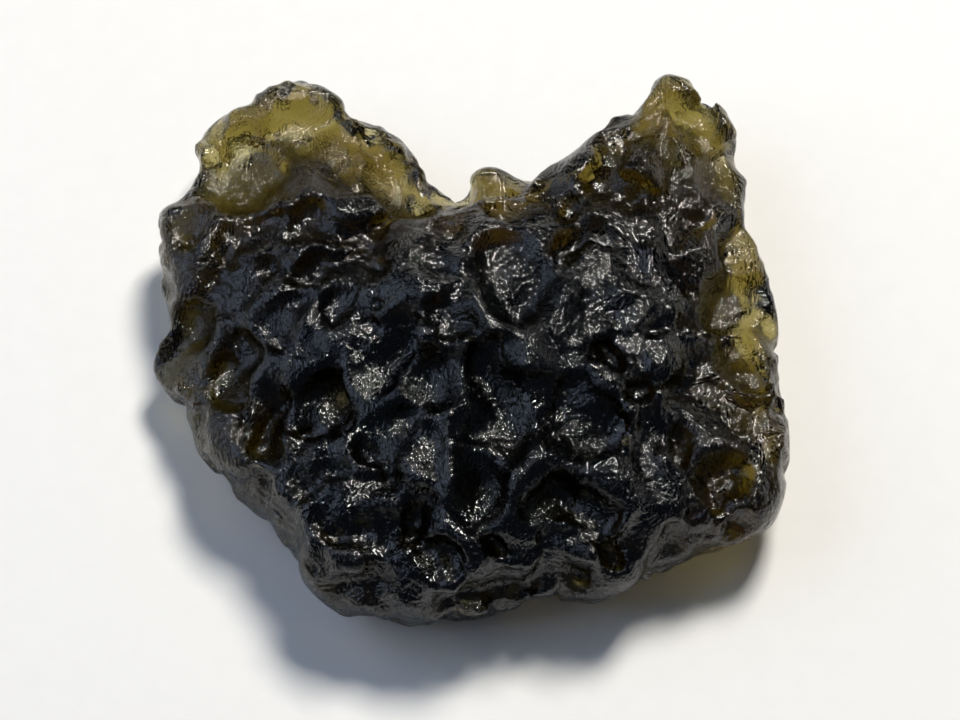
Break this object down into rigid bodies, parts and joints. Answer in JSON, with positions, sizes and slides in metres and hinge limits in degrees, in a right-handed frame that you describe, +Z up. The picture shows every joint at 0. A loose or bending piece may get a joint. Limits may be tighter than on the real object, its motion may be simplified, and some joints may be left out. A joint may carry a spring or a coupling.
{
  "type": "raw moldavite",
  "caption": "Flat lobed piece of natural green glass, etched all over with bowl-shaped pits and sharp ridges between them, resting on its worn underside.",
  "frame": {"origin": "centre of the bounding box in plan, at the surface the stone lies on", "axes": "+X along the stone's width, +Y towards the two lobes with the notch between them, +Z up from the underside"},
  "size_m": [0.036, 0.0336, 0.0108],
  "materials": {
    "moldavite_glass": "satin natural glass, etched, olive green where thin and near black where thick"
  },
  "bodies": {
    "root": {"moldavite": "moldavite_glass"}
  },
  "joints": []
}
